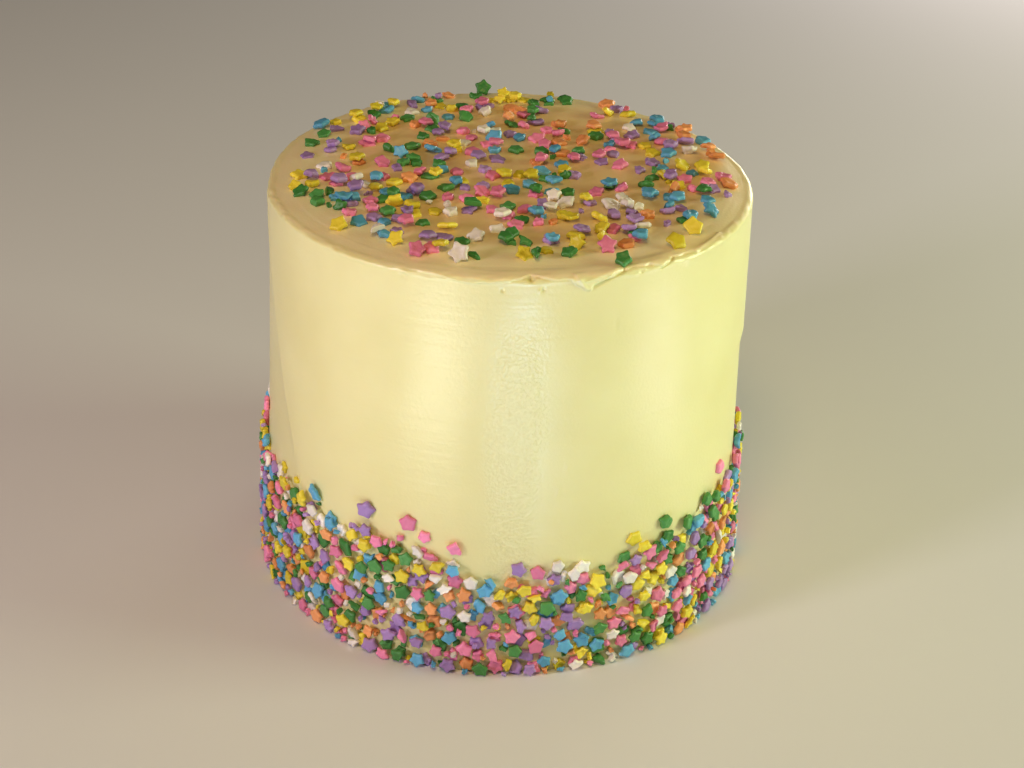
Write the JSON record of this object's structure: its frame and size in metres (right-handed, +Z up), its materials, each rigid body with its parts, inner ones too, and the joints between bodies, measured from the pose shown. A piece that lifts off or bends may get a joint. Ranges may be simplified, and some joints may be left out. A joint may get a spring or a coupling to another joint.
{
  "type": "layer cake",
  "caption": "Tall round layer cake in smooth pale icing, with small sugar stars banded round its foot and scattered over its flat top.",
  "frame": {"origin": "centre of the flat foot, on the surface that the cake stands on", "axes": "+Z up along the cake's axis, front towards -Y, +X to the right of the front"},
  "size_m": [0.1708, 0.1703, 0.1463],
  "materials": {
    "icing": "smooth pale yellow buttercream, soft sheen",
    "sugar_pink": "pink pressed sugar, matt",
    "sugar_purple": "purple pressed sugar, matt",
    "sugar_blue": "blue pressed sugar, matt",
    "sugar_green": "green pressed sugar, matt",
    "sugar_yellow": "yellow pressed sugar, matt",
    "sugar_orange": "orange pressed sugar, matt",
    "sugar_white": "white pressed sugar, matt"
  },
  "bodies": {
    "root": {"cake": "icing"}
  },
  "joints": []
}
